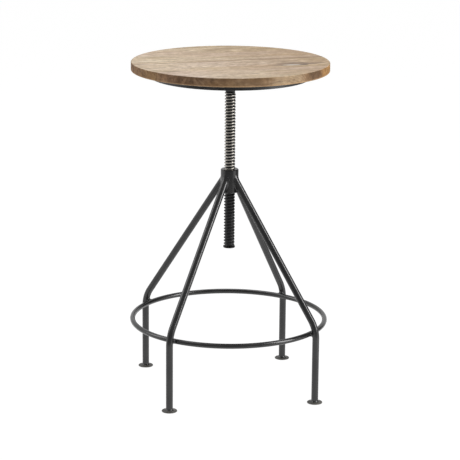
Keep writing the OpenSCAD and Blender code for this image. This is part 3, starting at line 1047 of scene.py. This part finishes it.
def slopeField(tree, x, y, z):
    across = tree.times(tree.minus(x, hubRadius), math.cos(lean))
    off = tree.timesPlus(tree.minus(z, leg["jointHeight"]), math.sin(lean), across)
    return tree.minus(tree.reach(off, y), barRadius)


# the leg's upright stretch and its bend
def bendField(tree, x, y, z):
    raised = tree.most(tree.minus(z, bendHeight), 0.0)
    sideways = tree.minus(x, legReach - leg["bendRadius"])
    off = tree.minus(tree.reach(sideways, raised), leg["bendRadius"])
    return tree.minus(tree.reach(off, y), barRadius)


def ringField(tree, x, y, z):
    sideways = tree.minus(tree.reach(x, y), ringRadius)
    return tree.minus(tree.reach(sideways, tree.minus(z, ringHeight)), ringBar)


# the dished top of a foot disc, falling from the bar to its rim
def discField(tree, x, y, z):
    out = tree.reach(tree.minus(x, legReach), y)
    fall = tree.times(tree.minus(out, barRadius), weld["discFall"])
    return tree.plus(tree.minus(z, footTop), fall)


def makeWelds():
    growBeads("hub", hubField, slopeField, inner=0.0115, outer=0.046, aside=0.0135,
              low=0.400, high=hubHigh.z - 0.002)
    growBeads("ring", bendField, ringField, inner=ringRadius - 0.010, outer=legReach + 0.004,
              aside=0.012, low=ringHeight - 0.011, high=ringHeight + 0.011)
    reach = barRadius + 0.006
    growBeads("foot", bendField, discField, inner=legReach - reach, outer=legReach + reach,
              aside=reach, low=footTop - 0.003, high=footTop + 0.006)


makeWelds()
print("welds laid")


# plate screws: turned pan heads with a cross recess, each stopped at its own angle
panScrew = {
    "count": 8,
    "shankRadius": 0.00225,
    "headRadius": 0.0045,
    "headHeight": 0.0027,
    "lipHeight": 0.0009,     # straight edge of the head, next to the plate
    "tipLength": 0.0045,
    "recessReach": 0.0027,
    "recessWidth": 0.0009,
    "recessDepth": 0.0014,
    "recessTaper": 0.6,
    "domePower": 0.75,       # below 1 the dome is fuller than half an ellipse
    "domeSteps": 6,
    "sharpFrom": 35,         # degrees between faces
    "sides": 32,
    "seed": 4,
}


# outline of half a screw, from the middle of its head to its tip: distance out and height
def screwOutline():
    dome = panScrew["headHeight"] - panScrew["lipHeight"]
    plateUnder = screwLow.z + panScrew["headHeight"]
    outline = []
    for step in range(panScrew["domeSteps"] + 1):
        angle = math.pi / 2 * step / panScrew["domeSteps"]
        outline.append((panScrew["headRadius"] * math.sin(angle) ** panScrew["domePower"],
                        screwLow.z + dome * (1 - math.cos(angle))))
    return outline + [
        (panScrew["headRadius"], plateUnder), (panScrew["shankRadius"], plateUnder),
        (panScrew["shankRadius"], screwHigh.z - panScrew["tipLength"]), (0, screwHigh.z),
    ]


def makeScrews():
    outline = screwOutline()
    length = screwHigh.z - screwLow.z
    reach = max(math.hypot(vertex.co.x, vertex.co.y)
                for vertex in nodes["plate_screws"].data.vertices)
    tree = Grower("panScrews", panScrew, "headRadius", "recessReach", "recessWidth",
                  "recessDepth", "count", "sides", "seed", circle=reach - panScrew["headRadius"],
                  low=screwLow.z, height=length, turn=turn)
    given = tree.given
    tube = tree.first("GeometryNodeMeshCylinder", {"fill_type": "NONE"}, Vertices=given["sides"],
                      Side_Segments=len(outline) - 1, Radius=1.0, Depth=1.0)
    x, y, z = tree.parts(tree.first("GeometryNodeInputPosition"))
    share = tree.plus(z, 0.5)
    out = tree.curveThrough(share, [place[0] / panScrew["headRadius"] for place in outline])
    rise = tree.curveThrough(share, [(place[1] - screwLow.z) / length for place in outline])
    radius = tree.times(out, given["headRadius"])
    turned = tree.placed(tube, tree.point(tree.times(x, radius), tree.times(y, radius),
                                          tree.times(rise, given["height"])))

    # the recess is two crossed wedges that narrow into the head
    cut = tree.node("GeometryNodeMeshBoolean", {"operation": "DIFFERENCE", "solver": "EXACT"})
    tree.feed(cut.inputs["Mesh 1"], tree.merged(turned))
    size = tree.point(tree.times(given["recessReach"], 2.0), given["recessWidth"],
                      tree.times(given["recessDepth"], 2.0))
    block = tree.first("GeometryNodeMeshCube", Size=size)
    inside = tree.math("GREATER_THAN", z, 0.0)
    narrowed = tree.timesPlus(inside, -panScrew["recessTaper"], 1.0)
    wedge = tree.placed(block, tree.point(tree.times(x, narrowed), tree.times(y, narrowed), z))
    for spin in (0, math.pi / 2):
        tree.feed(cut.inputs["Mesh 2"], tree.moved(wedge, Rotation=(0, 0, spin)))

    places = tree.first("GeometryNodeMeshCircle", Vertices=given["count"], Radius=given["circle"])
    chance = tree.node("FunctionNodeRandomValue", {"data_type": "FLOAT"}, Seed=given["seed"])
    angle = tree.times(chance.outputs[1], math.pi / 2)
    screws = tree.first("GeometryNodeInstanceOnPoints", Points=places, Instance=cut.outputs[0],
                        Rotation=tree.point(z=angle))
    halfStep = tree.over(math.pi, given["count"])
    driven = tree.moved(screws, Translation=tree.point(z=given["low"]),
                        Rotation=tree.point(z=tree.plus(given["turn"], halfStep)))
    tree.end(driven, math.radians(panScrew["sharpFrom"]))
    tree.grow("pan_head_screws", zincSteel, "seat", "zinc_steel", ["plate_screws"])


makeScrews()
print("plate screws driven")


# the nodes that keep their own shapes
dress(["hub"], powderCoat)
dress(["foot_" + name for name in legNames], footCoat)
dress(["seat_plate", "plate_hoop", "spindle_weld"], plateCoat)
dress(["pad_" + name for name in legNames], padRubber)
dress(["stop_washer", "stop_screw"], blackOxide)
print("frame's own pieces dressed")
